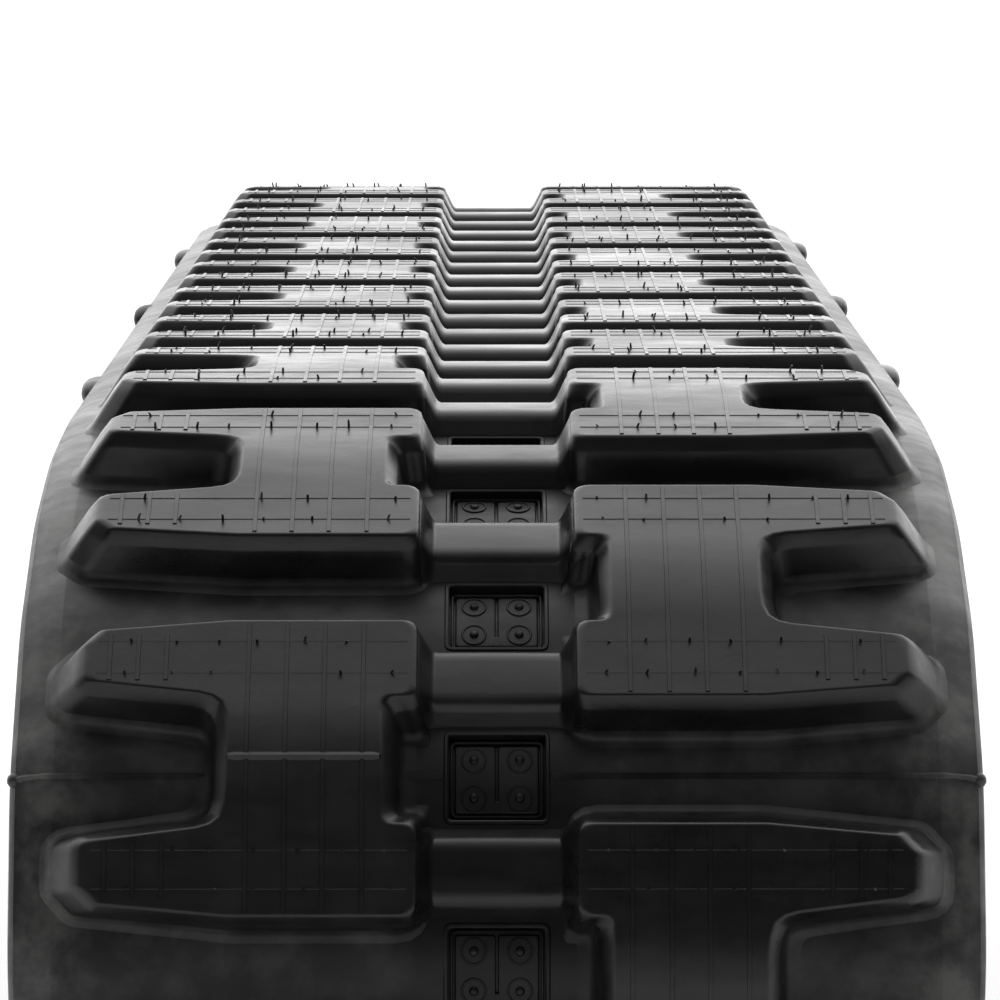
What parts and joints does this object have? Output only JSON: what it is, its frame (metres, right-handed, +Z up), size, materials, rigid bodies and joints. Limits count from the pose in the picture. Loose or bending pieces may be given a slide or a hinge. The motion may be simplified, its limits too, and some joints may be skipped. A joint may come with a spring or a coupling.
{
  "type": "rubber track",
  "caption": "Endless rubber track moulded to an oval: staggered H tread blocks outside, iron cores with guide horns inside, steel cord plies between, flexing at its two bends.",
  "frame": {"origin": "on the ground plane, under the middle of the oval, at the tops of the bottom run's tread blocks", "axes": "X across the track, Y along it with the front bend towards -Y, Z up"},
  "size_m": [0.45, 1.938, 0.4909],
  "materials": {
    "rubber": "satin moulded rubber",
    "iron_core": "rough forged, dark",
    "steel_cord_ply": "brass-coated steel cords in rubber"
  },
  "bodies": {
    "bottom_run": {"rubber_bottom_run": "rubber", "cord_ply_bottom_run": "steel_cord_ply", "iron_core_48": "iron_core", "iron_core_01": "iron_core", "iron_core_02": "iron_core", "iron_core_03": "iron_core", "iron_core_04": "iron_core", "iron_core_05": "iron_core", "iron_core_06": "iron_core", "iron_core_07": "iron_core", "iron_core_08": "iron_core", "iron_core_09": "iron_core", "iron_core_10": "iron_core", "iron_core_11": "iron_core", "iron_core_12": "iron_core", "iron_core_13": "iron_core", "iron_core_14": "iron_core", "iron_core_15": "iron_core"},
    "front_lower": {"rubber_front_lower": "rubber", "cord_ply_front_lower": "steel_cord_ply", "iron_core_16": "iron_core", "iron_core_17": "iron_core", "iron_core_18": "iron_core", "iron_core_19": "iron_core"},
    "front_upper": {"rubber_front_upper": "rubber", "cord_ply_front_upper": "steel_cord_ply", "iron_core_20": "iron_core", "iron_core_21": "iron_core", "iron_core_22": "iron_core", "iron_core_23": "iron_core"},
    "top_run": {"rubber_top_run": "rubber", "cord_ply_top_run": "steel_cord_ply", "iron_core_24": "iron_core", "iron_core_25": "iron_core", "iron_core_26": "iron_core", "iron_core_27": "iron_core", "iron_core_28": "iron_core", "iron_core_29": "iron_core", "iron_core_30": "iron_core", "iron_core_31": "iron_core", "iron_core_32": "iron_core", "iron_core_33": "iron_core", "iron_core_34": "iron_core", "iron_core_35": "iron_core", "iron_core_36": "iron_core", "iron_core_37": "iron_core", "iron_core_38": "iron_core", "iron_core_39": "iron_core"},
    "rear_upper": {"rubber_rear_upper": "rubber", "cord_ply_rear_upper": "steel_cord_ply", "iron_core_40": "iron_core", "iron_core_41": "iron_core", "iron_core_42": "iron_core", "iron_core_43": "iron_core"},
    "rear_lower": {"rubber_rear_lower": "rubber", "cord_ply_rear_lower": "steel_cord_ply", "iron_core_44": "iron_core", "iron_core_45": "iron_core", "iron_core_46": "iron_core", "iron_core_47": "iron_core"}
  },
  "joints": [
    {"name": "front_lower_flex", "type": "hinge", "parent": "bottom_run", "child": "front_lower", "pos_m": [0, -0.68775, 0.04462], "axis": [1, 0, 0], "range_deg": [-5, 5], "stiffness_Nm_per_rad": 12000, "springref_deg": -1.72},
    {"name": "front_nose_flex", "type": "hinge", "parent": "front_lower", "child": "front_upper", "pos_m": [0, -0.93108, 0.24547], "axis": [1, 0, 0], "range_deg": [-10, 10]},
    {"name": "front_upper_flex", "type": "hinge", "parent": "front_upper", "child": "top_run", "pos_m": [0, -0.68775, 0.44632], "axis": [1, 0, 0], "range_deg": [-5, 5]},
    {"name": "rear_upper_flex", "type": "hinge", "parent": "top_run", "child": "rear_upper", "pos_m": [0, 0.68775, 0.44632], "axis": [1, 0, 0], "range_deg": [-5, 5]},
    {"name": "rear_nose_flex", "type": "hinge", "parent": "rear_upper", "child": "rear_lower", "pos_m": [0, 0.93108, 0.24547], "axis": [1, 0, 0], "range_deg": [-10, 10]}
  ],
  "couplings": [
    {"joint": "front_nose_flex", "follows": "front_lower_flex", "ratio": -2},
    {"joint": "front_upper_flex", "follows": "front_lower_flex", "ratio": 1},
    {"joint": "rear_upper_flex", "follows": "front_lower_flex", "ratio": 1},
    {"joint": "rear_nose_flex", "follows": "front_lower_flex", "ratio": -2}
  ]
}
